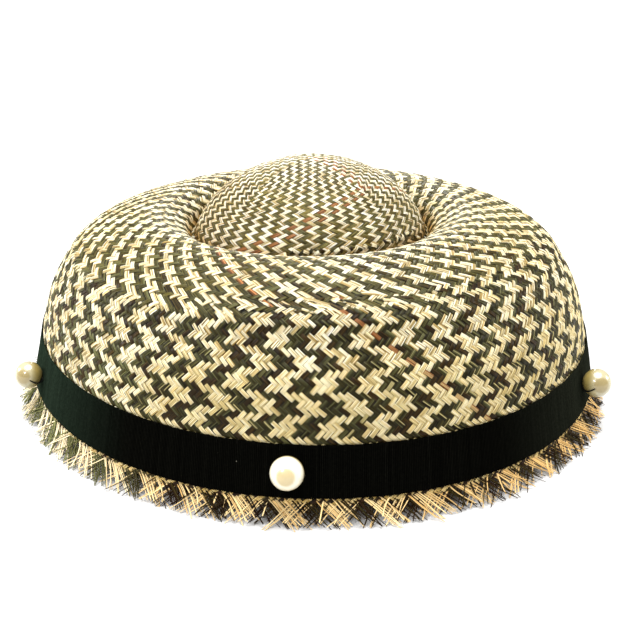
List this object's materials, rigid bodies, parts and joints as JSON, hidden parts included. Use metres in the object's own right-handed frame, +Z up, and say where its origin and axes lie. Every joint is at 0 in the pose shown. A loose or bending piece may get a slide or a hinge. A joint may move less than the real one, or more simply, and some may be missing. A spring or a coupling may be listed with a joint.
{
  "type": "mushroom hat",
  "caption": "Woven straw hat with a small domed crown sunk in a wide rolled brim, a dark ribbon, round pearls on it and a frayed straw edge.",
  "frame": {"origin": "on the resting surface, under the middle of the hat's outline", "axes": "+Z up, +X to the right seen from the front, -Y is the front; the hat is longest along Y, the head's length"},
  "size_m": [0.431, 0.4678, 0.167],
  "materials": {
    "crown_straw": "glossy two-colour straw, natural and dark olive, woven one and one",
    "brim_straw": "glossy two-colour straw, natural and dark olive, woven in a small and a large houndstooth",
    "ribbon": "matt ribbed dress ribbon, near black",
    "frayed_straw": "loose straw ends, tan and dark brown",
    "pearl": "glossy cream pearl"
  },
  "bodies": {
    "root": {"crown": "crown_straw", "brim": "brim_straw", "ribbon_band": "ribbon", "frayed_edge": "frayed_straw", "pearl_left": "pearl", "pearl_front": "pearl", "pearl_right": "pearl", "pearl_back_right": "pearl", "pearl_back_left": "pearl"}
  },
  "joints": []
}
